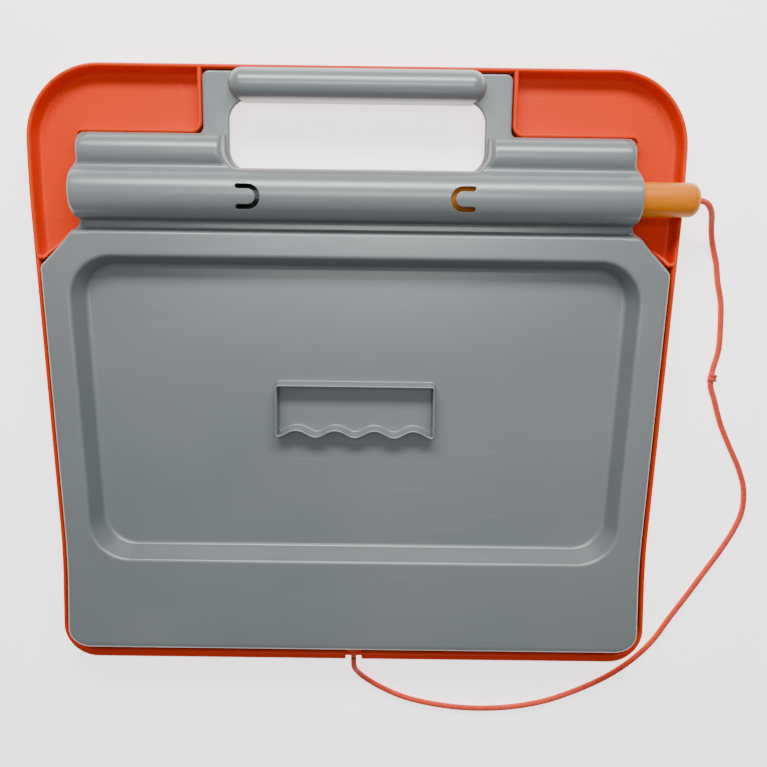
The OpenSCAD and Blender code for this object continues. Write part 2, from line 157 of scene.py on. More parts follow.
def plastic(name, base, light, dark, roughness, spread, wear, grain=0.00002, specular=0.5, coat=0.0):
    """Moulded plastic: cloudy colour, faint flow lines, fine grain, rubbed edges, hairline scratches."""
    g = Graph(name)
    cloud = g.noise(9.0, 3.0, 0.5)
    colour = g.mix(g.ramp(cloud, [(0.2, 0.0), (0.8, 1.0)]), dark, base)
    flow = g.noise(16.0, 2.0, 0.5, 0.0, (0.35, 1.5, 1.0))
    colour = g.mix(g.math("MULTIPLY", g.ramp(flow, [(0.25, 0.0), (0.75, 1.0)]), 0.05), colour,
                   light)
    point = g.geo.outputs["Pointiness"]
    edge = g.ramp(point, [(0.52, 0.0), (0.60, 1.0)])
    patch = g.ramp(g.noise(60.0, 3.0), [(0.40, 0.25), (0.65, 1.0)])
    edge = g.math("MULTIPLY", g.math("MULTIPLY", edge, patch), wear)
    colour = g.mix(edge, colour, light)
    # hairline scratches in two directions
    lines = None
    for turn, scale in ((0.5, 1100.0), (-0.9, 900.0)):
        spun = g.node("ShaderNodeMapping", Vector=g.at, Rotation=(0.0, 0.0, turn), Scale=(0.012, 1.0, 1.0))
        hair = g.node("ShaderNodeTexNoise", Vector=spun.outputs[0], Scale=scale, Detail=2.0,
                      Roughness=0.5, Distortion=0.3).outputs["Fac"]
        hair = g.ramp(hair, [(0.70, 0.0), (0.76, 1.0)])
        lines = hair if lines is None else g.math("MAXIMUM", lines, hair)
    lines = g.math("MULTIPLY", lines, g.ramp(g.noise(7.0, 2.0), [(0.50, 0.0), (0.62, 1.0)]))
    colour = g.mix(g.math("MULTIPLY", lines, 0.16), colour, light)
    fine = g.noise(2600.0, 2.0, 0.6)
    soft = g.noise(22.0, 3.0, 0.5)
    rough = g.math("ADD", roughness - spread / 2, g.math("MULTIPLY", soft, spread))
    rough = g.math("ADD", rough, g.math("MULTIPLY", lines, 0.12), True)
    normal = g.bump(soft, 0.35, 0.00025)
    normal = g.bump(fine, 0.6, grain, normal)
    normal = g.bump(lines, 0.25, -0.00002, normal)
    rest = {"IOR": 1.5, "Specular_IOR_Level": specular}
    if coat:
        rest.update(Coat_Weight=coat, Coat_Roughness=0.22)
    return g.finish(colour, rough, normal, **rest)


def braid_material():
    """Woven cord: the strands are in the mesh, the fibres and a painted shade between the strands in the
    shader.
    """
    g = Graph("cord_braid")
    cloud = g.noise(120.0, 4.0, 0.6)
    colour = g.mix(g.ramp(cloud, [(0.3, 0.0), (0.7, 1.0)]), (0.60, 0.024, 0.0), (0.80, 0.044, 0.0))
    fibre = g.noise(1500.0, 3.0, 0.7, 0.4, (1.0, 1.0, 0.35))
    colour = g.mix(g.math("MULTIPLY", g.ramp(fibre, [(0.42, 0.0), (0.62, 1.0)]), 0.35), colour,
                   linear(255, 128, 84))
    # painted shade: the colour darkens where the surface curves inwards between the strands
    painted_strand_shade = g.ramp(g.geo.outputs["Pointiness"], [(0.40, 1.0), (0.50, 0.0)])
    colour = g.mix(g.math("MULTIPLY", painted_strand_shade, 0.75), colour, linear(120, 10, 0))
    normal = g.bump(fibre, 0.7, 0.0001)
    return g.finish(colour, 0.72, normal, Sheen_Weight=0.25, Sheen_Roughness=0.5)


def film_material():
    g = Graph("screen_film")
    cell = g.tree.nodes.new("ShaderNodeTexVoronoi")
    cell.feature = "DISTANCE_TO_EDGE"
    g.feed(cell.inputs["Vector"], g.at)
    g.feed(cell.inputs["Scale"], 420.0)
    if "Randomness" in cell.inputs:
        g.feed(cell.inputs["Randomness"], 0.15)
    wall = g.ramp(cell.outputs["Distance"], [(0.02, 1.0), (0.10, 0.0)])
    cloud = g.noise(14.0, 4.0)
    colour = g.mix(cloud, linear(214, 216, 208), linear(228, 229, 222))
    colour = g.mix(g.math("MULTIPLY", wall, 0.30), colour, linear(176, 178, 172))
    return g.finish(colour, 0.22, g.bump(cloud, 0.2, 0.0001), IOR=1.5, Coat_Weight=0.6, Coat_Roughness=0.08)


def metal_material(name, tint, roughness):
    g = Graph(name)
    brushed = g.noise(900.0, 3.0, 0.6, 0.0, (0.1, 1.0, 1.0))
    colour = g.mix(g.ramp(brushed, [(0.3, 0.0), (0.7, 1.0)]), tuple(c * 0.75 for c in tint), tint)
    rough = g.math("ADD", roughness - 0.08, g.math("MULTIPLY", brushed, 0.16))
    return g.finish(colour, rough, g.bump(brushed, 0.3, 0.00003), Metallic=1.0)


def rubber_material(name, tone):
    g = Graph(name)
    grain = g.noise(700.0, 4.0, 0.65)
    colour = g.mix(g.ramp(grain, [(0.3, 0.0), (0.7, 1.0)]), tuple(c * 0.8 for c in tone), tone)
    return g.finish(colour, 0.72, g.bump(grain, 0.5, 0.00006))


GREY = plastic("cover_plastic", (0.166, 0.182, 0.186), (0.42, 0.45, 0.46), (0.138, 0.155, 0.163), 0.30, 0.07,
               0.35, specular=0.9)
ORANGE = plastic("frame_plastic", (0.74, 0.036, 0.0), (0.85, 0.09, 0.0), (0.68, 0.030, 0.0), 0.36, 0.08,
                 0.25, grain=0.000012, specular=0.15)
PEN = plastic("pen_plastic", (0.70, 0.19, 0.0), (0.8, 0.27, 0.0), (0.64, 0.165, 0.0), 0.34, 0.08,
              0.15, grain=0.000012, specular=0.2)
WHITE = plastic("eraser_plastic", linear(206, 208, 208), linear(232, 233, 232), linear(192, 194, 195), 0.45,
                0.12, 0.3)
YELLOW = plastic("knob_plastic", linear(250, 190, 30), linear(255, 220, 120), linear(240, 176, 20),
                 0.35, 0.10, 0.3)
CLAMP = plastic("clamp_plastic", linear(176, 179, 181), linear(208, 210, 211), linear(160, 163, 166), 0.5,
                0.12, 0.2)
CORD = braid_material()
FILM = film_material()
STEEL = metal_material("screw_steel", (0.62, 0.62, 0.64), 0.34)
TIP = metal_material("tip_metal", (0.24, 0.24, 0.25), 0.40)
SEAL = rubber_material("seal_rubber", linear(74, 75, 77))
SEAL_WHITE = rubber_material("seal_white", linear(206, 208, 206))
MAGNET = rubber_material("magnet_strip", linear(34, 34, 36))


# ---------------------------------------------------------------- mesh tools, all in millimetres
def corner(p, a, b, r, n):
    """n + 1 points of one rounded corner at p, between its neighbours a and b."""
    p, a, b = np.array(p, float), np.array(a, float), np.array(b, float)
    u, w = (a - p) / np.linalg.norm(a - p), (b - p) / np.linalg.norm(b - p)
    half = math.acos(max(-1.0, min(1.0, float(u @ w)))) / 2
    # known defect: a, p and b on one straight line have no bisector, and the points come out as NaN
    m = (u + w) / np.linalg.norm(u + w)
    c = p + m * r / math.sin(half)
    s, e = p + u * r / math.tan(half) - c, p + w * r / math.tan(half) - c
    a0 = math.atan2(s[1], s[0])
    turn = math.atan2(e[1], e[0]) - a0
    turn = (turn + math.pi) % (2 * math.pi) - math.pi
    return [(c[0] + r * math.cos(a0 + turn * i / n), c[1] + r * math.sin(a0 + turn * i / n))
            for i in range(n + 1)]


def rounded(q):
    """A polygon of (x, y, radius, steps) corners as plain points."""
    out = []
    for i, (x, y, r, n) in enumerate(q):
        a, b = q[i - 1], q[(i + 1) % len(q)]
        out += corner((x, y), a[:2], b[:2], max(r, 0.05), n)
    return out


def both(half):
    return list(half) + [(-x, y, r, n) for x, y, r, n in reversed(half)]


def box4(x0, x1, y0, y1, r, n=8):
    return rounded([(x0, y1, r, n), (x0, y0, r, n), (x1, y0, r, n), (x1, y1, r, n)])


def inside(point, loop):
    x, y = point
    hit = False
    for i in range(len(loop)):
        x0, y0 = loop[i - 1]
        x1, y1 = loop[i]
        if (y0 > y) != (y1 > y) and x < x0 + (y - y0) * (x1 - x0) / (y1 - y0):
            hit = not hit
    return hit


class Skin:
    """Gathers swept loops and flat webs in millimetres and welds them into one mesh."""

    def __init__(self):
        self.points = []
        self.faces = []

    def add(self, points, faces):
        base = len(self.points)
        self.points += [tuple(p) for p in points]
        self.faces += [tuple(base + i for i in f) for f in faces]

    def loops(self, rings, closed=True, flip=False):
        """Quads between rings of the same number of points."""
        n = len(rings[0])
        faces = []
        for k in range(len(rings) - 1):
            for i in range(n if closed else n - 1):
                j = (i + 1) % n
                f = (k * n + i, k * n + j, (k + 1) * n + j, (k + 1) * n + i)
                faces.append(f[::-1] if flip else f)
        self.add([p for ring in rings for p in ring], faces)

    def sweep(self, outline, profile, flip=False):
        """A profile of (inset, z) swept round an outline that takes the inset."""
        self.loops([[(x, y, z) for x, y in outline(d)] for d, z in profile], True, flip)

    def web(self, outer, holes=(), z=0.0, flip=False, extra=(), lift=None):
        """A flat face with holes, or a curved one where lift gives (x, y, z) for a flat point."""
        points, edges = [], []
        for loop in (outer, *holes):
            base = len(points)
            points += [Vector(p) for p in loop]
            edges += [(base + i, base + (i + 1) % len(loop)) for i in range(len(loop))]
        points += [Vector(p) for p in extra]
        made = delaunay_2d_cdt(points, edges, [], 0, 1e-5, False)
        verts, tris = made[0], made[2]
        keep = []
        for t in tris:
            m = sum((verts[i] for i in t), Vector((0.0, 0.0))) / len(t)
            if inside(m, outer) and not any(inside(m, h) for h in holes):
                a, b, c = (verts[i] for i in t[:3])
                up = (b - a).cross(c - a) > 0
                keep.append(tuple(t) if up != flip else tuple(t)[::-1])
        flat = [(lift(v.x, v.y) if lift else (v.x, v.y, z)) for v in verts]
        self.add(flat, keep)

    def build(self, name, body, material, sharp=38.0, weld=0.02, nodes=(), weighted=True):
        mesh = bpy.data.meshes.new(name)
        mesh.from_pydata([(x * MM, y * MM, z * MM) for x, y, z in self.points], [], self.faces)
        bm = bmesh.new()
        bm.from_mesh(mesh)
        bmesh.ops.remove_doubles(bm, verts=bm.verts, dist=weld * MM)
        bmesh.ops.dissolve_degenerate(bm, edges=bm.edges, dist=0.002 * MM)
        loose = [v for v in bm.verts if not v.link_faces]
        bmesh.ops.delete(bm, geom=loose, context="VERTS")
        bm.to_mesh(mesh)
        bm.free()
        return piece(name, mesh, body, material, sharp, nodes, weighted)


def piece(name, mesh, body, material, sharp=38.0, nodes=(), weighted=True):
    mesh.materials.append(material)
    mesh.shade_smooth()
    mesh.set_sharp_from_angle(angle=math.radians(sharp))
    made = bpy.data.objects.new(name, mesh)
    scene.collection.objects.link(made)
    if weighted:
        even = made.modifiers.new("even", "WEIGHTED_NORMAL")
        even.keep_sharp = True
        even.weight = 80
    if body:
        if body == "tether":
            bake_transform(made)
        else:
            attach(made, body)
    if nodes:
        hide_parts(*nodes)
    return made


# ---------------------------------------------------------------- cord
# on the CAD's route but for three points, which lie up to 0.9 mm aside
# it follows the pen at one end and the notch in the frame at the other
CORD_R = 1.9
LAY = CORD_R + 0.1
ROUTE = [(196, 111, 29.5), (201, 111, 29.5), (205.5, 110, 28.4), (210, 106.8, 24.5),
         (213.5, 102.5, 18.5), (216.5, 97, 11.5), (219.5, 90.5, 5.8), (222.5, 83, 2.6), (225, 75, LAY),
         (227, 63, LAY), (230, 50, LAY), (231, 35, LAY), (231, 20, LAY), (228.5, 8, LAY),
         (227.5, -2, LAY), (231, -13, LAY), (236, -28, LAY), (243, -43, LAY), (250, -57, LAY),
         (254.7, -71, LAY), (255.1, -86, LAY), (251, -99, LAY), (243, -114, LAY), (233, -130, LAY),
         (223, -146, LAY), (212, -163, LAY), (202, -179, LAY), (189, -193, LAY), (173, -205, LAY),
         (153, -215.5, LAY), (131, -224, LAY), (106, -229, LAY), (80, -230, LAY), (56, -227.5, LAY),
         (35, -222.5, LAY), (19, -215.5, LAY), (8, -208, 3.2), (2.5, -201, 7.2), (0.3, -194.5, 12),
         (0, -187.3, 14)]


def smooth_line(points, step):
    """Centripetal curve through the points, resampled evenly."""
    p = [np.array(q, float) for q in points]
    p = [2 * p[0] - p[1]] + p + [2 * p[-1] - p[-2]]
    fine = []
    for i in range(1, len(p) - 2):
        t = [0.0]
        for k in range(3):
            t.append(t[-1] + np.linalg.norm(p[i + k] - p[i + k - 1]) ** 0.5)
        for s in range(12):
            u = t[1] + (t[2] - t[1]) * s / 12
            a = [(t[k + 1] - u) / (t[k + 1] - t[k]) * p[i - 1 + k] + (u - t[k]) / (t[k + 1] - t[k]) * p[i + k]
                 for k in range(3)]
            b = [(t[k + 2] - u) / (t[k + 2] - t[k]) * a[k] + (u - t[k]) / (t[k + 2] - t[k]) * a[k + 1]
                 for k in range(2)]
            fine.append((t[2] - u) / (t[2] - t[1]) * b[0] + (u - t[1]) / (t[2] - t[1]) * b[1])
    fine.append(p[-2])
    fine = np.array(fine)
    far = np.concatenate([[0], np.cumsum(np.linalg.norm(np.diff(fine, axis=0), axis=1))])
    want = np.linspace(0, far[-1], max(2, int(round(far[-1] / step))) + 1)
    return np.stack([np.interp(want, far, fine[:, k]) for k in range(3)], 1), far[-1]


def frames_along(line):
    """Direction, side and up at each point of a line, turning as little as possible."""
    along = np.gradient(line, axis=0)
    along /= np.linalg.norm(along, axis=1)[:, None]
    side = np.cross(along[0], (0, 0, 1.0))
    side /= np.linalg.norm(side)
    sides = []
    for d in along:
        side = side - d * (side @ d)
        side /= np.linalg.norm(side)
        sides.append(side)
    sides = np.array(sides)
    return along, sides, np.cross(sides, along)


def braided(line, radius, strands=8, pitch=9.0, around=32, deep=0.22):
    """Rings of a round braid: crossing diagonal strands stand proud of the tube."""
    along, side, up = frames_along(line)
    far = np.concatenate([[0], np.cumsum(np.linalg.norm(np.diff(line, axis=0), axis=1))])
    rings = []
    for i, c in enumerate(line):
        ring = []
        for k in range(around):
            a = 2 * math.pi * k / around
            left = math.cos(strands / 2 * (a + 2 * math.pi * far[i] / pitch))
            right = math.cos(strands / 2 * (a - 2 * math.pi * far[i] / pitch))
            weave = max(abs(left) ** 1.3, abs(right) ** 1.3)
            over = 0.5 + 0.5 * math.sin(strands / 2 * a * 2)
            r = radius * (1 - deep + deep * weave * (0.85 + 0.15 * over))
            ring.append(tuple(c + r * (math.cos(a) * side[i] + math.sin(a) * up[i])))
        rings.append(ring)
    return rings


cord_line, cord_length = smooth_line(ROUTE, 0.75)
cord_skin = Skin()
cord_rings = braided(cord_line, CORD_R)
cord_skin.loops(cord_rings, True, False)
for ring in (cord_rings[0], cord_rings[-1]):
    cord_skin.add(ring + [tuple(np.mean(ring, 0))],
                  [(i, (i + 1) % len(ring), len(ring)) for i in range(len(ring))])
cord = cord_skin.build("tether_cord", "tether", CORD, 60.0, 0.001, ("pen_cord",), False)


# ---------------------------------------------------------------- back cover
def path2(q):
    """An open line of (a, b, radius, steps) corners as plain points; its two ends have no radius."""
    out = [q[0][:2]]
    for i in range(1, len(q) - 1):
        out += corner(q[i][:2], q[i - 1][:2], q[i + 1][:2], max(q[i][2], 0.05), q[i][3])
    return out + [q[-1][:2]]


def arc(cy, cz, r, a0, a1, n):
    return [(cy + r * math.cos(math.radians(a0 + (a1 - a0) * i / n)),
             cz + r * math.sin(math.radians(a0 + (a1 - a0) * i / n))) for i in range(n + 1)]


def normals2(line, closed=False):
    """Left-hand unit normals of a flat line, mitred at its corners."""
    p = np.array(line, float)
    d = (np.roll(p, -1, 0) - p) if closed else np.diff(p, axis=0)
    if closed:
        before = np.roll(d, 1, 0)
    else:
        before, d = np.vstack([d[:1], d]), np.vstack([d, d[-1:]])
    n0 = np.stack([-before[:, 1], before[:, 0]], 1)
    n1 = np.stack([-d[:, 1], d[:, 0]], 1)
    n0 /= np.maximum(np.linalg.norm(n0, axis=1), 1e-9)[:, None]
    n1 /= np.maximum(np.linalg.norm(n1, axis=1), 1e-9)[:, None]
    m = n0 + n1
    m /= np.maximum(np.linalg.norm(m, axis=1), 1e-9)[:, None]
    return m / np.maximum((m * n1).sum(1), 0.5)[:, None]


def offset(line, d, closed=True):
    """A line moved to its left by d. The left of a loop that runs anticlockwise is its inside."""
    return [tuple(q) for q in np.array(line, float) + d * normals2(line, closed)]


TUBE_Y, TUBE_Z, TUBE_R, BORE_R = 111.0, 29.5, 15.0, 12.4
PLATEAU, FLOOR, WEB = 31.0, 16.0, 20.0
ROUND = 3.0

# left side of the cover seen from the back, from the handle edge down to the foot and its middle
side_left = path2([(-120, 146.3, 0, 0), (-165.2, 146.3, 6, 8), (-165.2, 129.2, 3.2, 5), (-168, 125.4, 3.2, 5),
                   (-168, 97.4, 4, 6), (-165.4, 93.4, 3.4, 6), (-172.6, 88.2, 5, 6), (-190.7, 69.2, 8, 7),
                   (-183.8, -114, 500, 6), (-186.1, -179.1, 17.3, 12), (0, -179.1, 0, 0)])
# the crest of the cover across the board: ridge, pen tube, groove and the edge of the plateau
crest = [(146.0, 12.0), (145.8, 20.0)] + arc(134.6, 26, 11, 0, 125.3, 22)
crest += arc(126.80, 37.02, 2.5, -54.7, -154.6, 6)[1:]
tube_first = len(crest)
crest += arc(TUBE_Y, TUBE_Z, TUBE_R, 25.5, 185, 34)[1:]
tube_last = len(crest) - 1
crest += arc(94.07, 28, 2, 5, -90, 6)[1:]
crest += path2([(93.4, 26, 0, 0), (90.4, 26, 1.8, 5), (89.0, PLATEAU, 2.4, 6), (84, PLATEAU, 0, 0)])
CY, CZ = np.array([p[0] for p in crest]), np.array([p[1] for p in crest])


def crest_height(y):
    return float(np.interp(-y, -CY[2:], CZ[2:]))


def side_at(y):
    """Point and inward normal of the left side at this y."""
    p = np.array(side_left[1:-1])
    k = int(np.clip(np.searchsorted(-p[:, 1], -y), 1, len(p) - 1))
    t = (y - p[k - 1, 1]) / (p[k, 1] - p[k - 1, 1]) if p[k, 1] != p[k - 1, 1] else 0.0
    t = min(1.0, max(0.0, t))
    n = SIDE_N[k] * (1 - t) + SIDE_N[k + 1] * t
    # beside the tube and the ridges the wall leans straight inwards
    straight = min(1.0, max(0.0, (y - 84) / 6)) * min(1.0, max(0.0, (142 - y) / 4))
    n = n / np.linalg.norm(n) * (1 - straight) + np.array((1.0, 0.0)) * straight
    return p[k - 1] * (1 - t) + p[k] * t, n


SIDE_N = normals2(side_left)


def drop(s, e):
    """How far a rounded edge of radius e has fallen at a distance s inside it."""
    return e - math.sqrt(max(0.0, e * e - (e - min(s, e)) ** 2))


EDGE = [0.0, 0.045, 0.13, 0.26, 0.44, 0.68, 1.0]
base_of = {}


def lean(z):
    """How far the outer wall has come inwards at this height."""
    return min(3.4, max(0.0, 0.3 * (z - 17.0)))


def end_columns(y, z, e, steep=False):
    """Points over the rounded edge on the left side of the cover, from the side wall inwards."""
    at, n = side_at(y)
    out = []
    for f in EDGE:
        s = f * e + lean(z - e)
        x, yy = at + n * s
        top = z if abs(n[1]) < 0.05 or steep else crest_height(yy)
        out.append((x, yy if not steep else y, max(7.2, top - drop(f * e, e))))
    out.append((-155.0, y, z))
    base_of[out[0]] = (at[0], y)
    return out


def mirrored(row):
    return [(-p[0], p[1], p[2]) for p in reversed(row)]


def edge_size(y, right):
    """Radius of the rounded edge at the cover's side: small round the open end of the tube."""
    small = 1.6 if right else ROUND
    if y > TUBE_Y:
        return small + (3.8 - small) * min(1.0, max(0.0, (y - 124.6) / 6))
    return small + (ROUND - small) * min(1.0, max(0.0, (96.2 - y) / 5))


def inner_end(y):
    """Where the ridge stops beside the handle opening."""
    if y >= 137.4:
        return 77.4
    return 63.3 + math.sqrt(max(0.0, 14.1 ** 2 - (137.4 - y) ** 2))


cover = Skin()
joint = tube_first - 1
last = len(crest) - 1


def foot_wall(rows, right):
    """The wall below the first or last point of each row."""
    tops = [row[-1 if right else 0] for row in rows]
    bases = [base_of[(-x, y, z)] if right else base_of[(x, y, z)] for x, y, z in tops]
    bases = [(-x, y) if right else (x, y) for x, y in bases]
    feet = [(x, y, 6.9) for x, y in bases]
    bend = [(b[0], b[1], min(17.0, t[2] - 0.05)) for b, t in zip(bases, tops)]
    cover.loops([feet, bend, tops], False, not right)


# the two ridges
for right in (False, True):
    rows = []
    for i in range(0, joint + 1):
        y, z = crest[i]
        e = 4.4 * min(1.0, max(0.0, (y - crest[joint][0]) / 3.2))
        x_in = inner_end(y)
        row = end_columns(min(y, 146.0), z, edge_size(y, right), i < 3)
        for f in reversed(EDGE):
            fall = drop(f * e, e) * min(1.0, (z - 19) / 9) if e > 0 else 0.0
            row.append((-(x_in + f * e), y, max(WEB - 1.0, z - fall)))
        row.append((-x_in, y, WEB - 1.0))
        rows.append(mirrored(row) if right else row)
    cover.loops(rows, False, True)
    foot_wall(rows, right)


# pen tube, groove and plateau edge, right across
def c_slot(s):
    """Outline of the C-shaped cut round a tongue, anticlockwise."""
    cx, cy = -61.5, 109.0
    out = [(-67.2, cy - 7.05)]
    out += [(cx + 7.05 * math.cos(math.radians(a)), cy + 7.05 * math.sin(math.radians(a)))
            for a in range(-90, 91, 10)]
    out += [(-67.2 + 1.35 * math.cos(math.radians(a)), cy + 5.7 + 1.35 * math.sin(math.radians(a)))
            for a in range(90, 271, 20)]
    out += [(cx + 4.35 * math.cos(math.radians(a)), cy + 4.35 * math.sin(math.radians(a)))
            for a in range(90, -91, -10)]
    out += [(-67.2 + 1.35 * math.cos(math.radians(a)), cy - 5.7 + 1.35 * math.sin(math.radians(a)))
            for a in range(90, 271, 20)]
    clean = []
    for p in out:
        if not clean or math.dist(p, clean[-1]) > 0.05:
            clean.append(p)
    if math.dist(clean[0], clean[-1]) < 0.05:
        clean.pop()
    return clean if s < 0 else [(-x, y) for x, y in reversed(clean)]


def on_tube(x, y, r=TUBE_R):
    return (x, y, TUBE_Z + math.sqrt(max(0.0, r * r - (y - TUBE_Y) ** 2)))


def tube_rows(first, last, x0=None, x1=None):
    """Rows of the crest between two stations; None runs over the rounded end of the cover."""
    rows = []
    for i in range(first, last + 1):
        y, z = crest[i]
        row = end_columns(y, z, edge_size(y, False)) if x0 is None else [(x0, y, z)]
        row += mirrored(end_columns(y, z, edge_size(y, True))) if x1 is None else [(x1, y, z)]
        rows.append(row)
    return rows


near, far_row = None, None
for i in range(tube_first, tube_last + 1):
    if near is None and crest[i][0] < TUBE_Y + 9.6:
        near = i
    if crest[i][0] > TUBE_Y - 11.4:
        far_row = i
stations = [None, -80.0, -45.0, 45.0, 80.0, None]
for k in range(5):
    x0, x1 = stations[k], stations[k + 1]
    if k in (1, 3):
        cover.loops(tube_rows(joint, near, x0, x1), False, True)
        cover.loops(tube_rows(far_row, last, x0, x1), False, True)
        hole = c_slot(-1 if k == 1 else 1)
        ys = [crest[i][0] for i in range(near, far_row + 1)]
        edge = [(x0, y) for y in ys] + [(x1, y) for y in reversed(ys)]
        inner = [(x0 + (x1 - x0) * a / 16, y) for a in range(1, 16) for y in ys[1:-1]]
        free = [p for p in inner if min(math.dist(p, h) for h in hole) > 0.8]
        cover.web(edge, [offset(hole, -0.28)], extra=free, lift=on_tube)
        lip = [offset(hole, -0.28), offset(hole, -0.08), hole, hole]
        depth = [0.0, 0.08, 0.32, None]
        rings = []
        for ring, down in zip(lip, depth):
            if down is None:
                rings.append([on_tube(x, y, BORE_R) for x, y in ring])
            else:
                rings.append([(q[0], q[1], q[2] - down) for q in (on_tube(x, y) for x, y in ring)])
        cover.loops(rings, True, False)
    else:
        cover.loops(tube_rows(joint, last, x0, x1), False, True)

# side of the tube above the handle opening
below = arc(TUBE_Y, TUBE_Z, TUBE_R, 0, 25.5, 5)
below = [(125.7, 17.9), (125.95, 22.0), (126.0, 26.0)] + below
cover.loops([[(-71.0, y, z), (71.0, y, z)] for y, z in below], False, True)

# side walls below the crest, and the end wall of the tube round its bore
whole = tube_rows(joint, last)
low_row = min(i for i in range(joint, last) if crest[i][0] < 98.1)
foot_wall(whole, False)
foot_wall(whole[low_row - joint:], True)
rim_line = [(row[-1][1], row[-1][2]) for row in whole[:low_row - joint + 1]]
ends = [base_of[(-x, y, z)][1] for x, y, z in (whole[0][-1], whole[low_row - joint][-1])]
end_poly = rim_line + [(ends[1], 17.0), (ends[1], 6.9), (ends[0], 6.9), (ends[0], 17.0)]
bore = [(TUBE_Y + r * math.cos(a), TUBE_Z + r * math.sin(a)) for r in (BORE_R + 0.45,)
        for a in (2 * math.pi * k / 72 for k in range(72))]
end_skin = Skin()
crease = [(y, z) for z in (17.0, 28.33) for y in np.arange(96.0, 126.0, 1.25)]
crease = [q for q in crease if ends[1] + 0.4 < q[0] < ends[0] - 0.4 and math.dist(q, (TUBE_Y, TUBE_Z)) > 13.2
          and (q[1] < 20 or abs(q[0] - TUBE_Y) < 14.0)]
end_skin.web(end_poly[::-1], [bore], extra=crease, lift=lambda y, z: (168.0 - lean(z), y, z))
cover.add(end_skin.points, end_skin.faces)


def circle_x(x, r, n=72):
    pts = [(TUBE_Y + r * math.cos(2 * math.pi * k / n), TUBE_Z + r * math.sin(2 * math.pi * k / n))
           for k in range(n)]
    return [(x - (lean(z) if x > 160 else 0.0), y, z) for y, z in pts]


cover.loops([circle_x(168.0, BORE_R + 0.45), circle_x(167.85, BORE_R + 0.15), circle_x(167.4, BORE_R),
             circle_x(80.0, BORE_R)], True, False)
cover.loops([circle_x(45.0, BORE_R), circle_x(-45.0, BORE_R)], True, False)
cover.loops([circle_x(-80.0, BORE_R), circle_x(-158.0, BORE_R)], True, False)
# the bore under the two tongues, open at their cuts
for s in (-1, 1):
    x0, x1 = min(s * 45.0, s * 80.0), max(s * 45.0, s * 80.0)
    start, stop = math.acos(-10.1 / BORE_R), 2 * math.pi + math.acos(6.1 / BORE_R)
    turn = [start + (stop - start) * k / 56 for k in range(57)]
    cover.loops([[(x, TUBE_Y + BORE_R * math.cos(a), TUBE_Z + BORE_R * math.sin(a)) for a in turn]
                 for x in (x1, x0)], False, False)
    ys = [100.9 + 16.2 * k / 12 for k in range(13)]
    edge = [(x0, y) for y in ys] + [(x1, y) for y in reversed(ys)]
    hole = c_slot(s)
    free = [(x0 + 35 * a / 16, y) for a in range(1, 16) for y in ys[1:-1]]
    free = [q for q in free if min(math.dist(q, h) for h in hole) > 0.8]
    cover.web(edge, [hole], extra=free, flip=True, lift=lambda x, y: on_tube(x, y, BORE_R))
cover.loops([circle_x(-158.0, BORE_R), circle_x(-160.0, BORE_R - 1.2), circle_x(-160.8, 6.0),
             circle_x(-160.8, 0.05)], True, False)

# plateau: its rounded rim and side wall below y = 84, left round the foot to the right
seam = side_at(84.0)
low = [tuple(seam[0])] + [p for p in side_left[1:] if p[1] < 83.9]
low_n = [seam[1]] + [SIDE_N[i] for i, p in enumerate(side_left) if i > 0 and p[1] < 83.9]
low_n[-1] = np.array((0.0, 1.0))
for k in (1, 2):
    low_n[-1 - k] = np.array((0.0, 1.0)) if low[-1 - k][1] < -179.0 else low_n[-1 - k]
low_n = [np.array((n[0], n[1] * 1.5)) if p[1] < -100 else n for p, n in zip(low, low_n)]


def low_chain(s, z):
    left = [(p[0] + n[0] * s, p[1] + n[1] * s, z) for p, n in zip(low, low_n)]
    return left[:-1] + [(-x, y, zz) for x, y, zz in reversed(left[:-1])]


chain = [low_chain(0.0, 6.9), low_chain(0.0, 17.0)]
chain += [low_chain(lean(PLATEAU - ROUND) + f * ROUND, PLATEAU - drop(f * ROUND, ROUND)) for f in EDGE]
cover.loops(chain, False, False)


def recess(d, n=14):
    return rounded(both([(-(166.1 + d), 69.5 + d, 20 + d, n), (-(159.1 + d), -108.9 - d, 20 + d, n)]))


recess_path = path2([(9.0, PLATEAU, 0, 0), (5.0, PLATEAU, 2.6, 6), (0.0, FLOOR, 3.2, 6), (-6.0, FLOOR, 0, 0)])
top_edge = [(p[0], p[1]) for p in chain[-1]] + [(x, 84.0) for x in (155.0, 80.0, 45.0, -45.0, -80.0, -155.0)]
cover.web(top_edge, [recess(recess_path[0][0])], PLATEAU)
cover.sweep(recess, recess_path)

# finger grip
grip_base = path2([(49.6, -34.0, 0, 0), (49.6, -2.0, 2.4, 5),
                   (-49.6, -2.0, 2.4, 5), (-49.6, -34.0, 0, 0)])[1:-1]
valleys = [(u * 48.6, -33.6 - 2.1 * math.cos(math.radians(20 * (i - 36))))
           for i, u in ((i, (i - 36) / 36) for i in range(0, 73))]
grip_base += [(-49.6, -33.4), (-49.42, -34.6)] + valleys + [(49.42, -34.6), (49.6, -33.4)]
grip_top = FLOOR + 10.5
grip_path = [(-1.2, FLOOR), (-0.75, FLOOR + 0.1), (-0.35, FLOOR + 0.45), (-0.12, FLOOR + 1.2),
             (0.0, FLOOR + 4), (0.12, grip_top - 0.9), (0.26, grip_top - 0.4), (0.55, grip_top - 0.08),
             (0.85, grip_top), (1.2, grip_top - 0.08), (1.45, grip_top - 0.35), (1.58, grip_top - 0.9),
             (1.66, FLOOR + 4), (1.85, FLOOR + 1.2), (2.1, FLOOR + 0.45), (2.5, FLOOR + 0.1),
             (2.95, FLOOR)]
cover.loops([[(x, y, z) for x, y in offset(grip_base, d)] for d, z in grip_path], True, False)
cover.web(recess(recess_path[-1][0]), [offset(grip_base, grip_path[0][0])], FLOOR)
cover.web(offset(grip_base, grip_path[-1][0]), [], FLOOR)

# web that carries the plates and the handle bar, with the handle opening
def opening(d):
    return box4(-75.3 - d, 75.3 + d, 125.4 - d, 166 + d, 12 + d, 12)


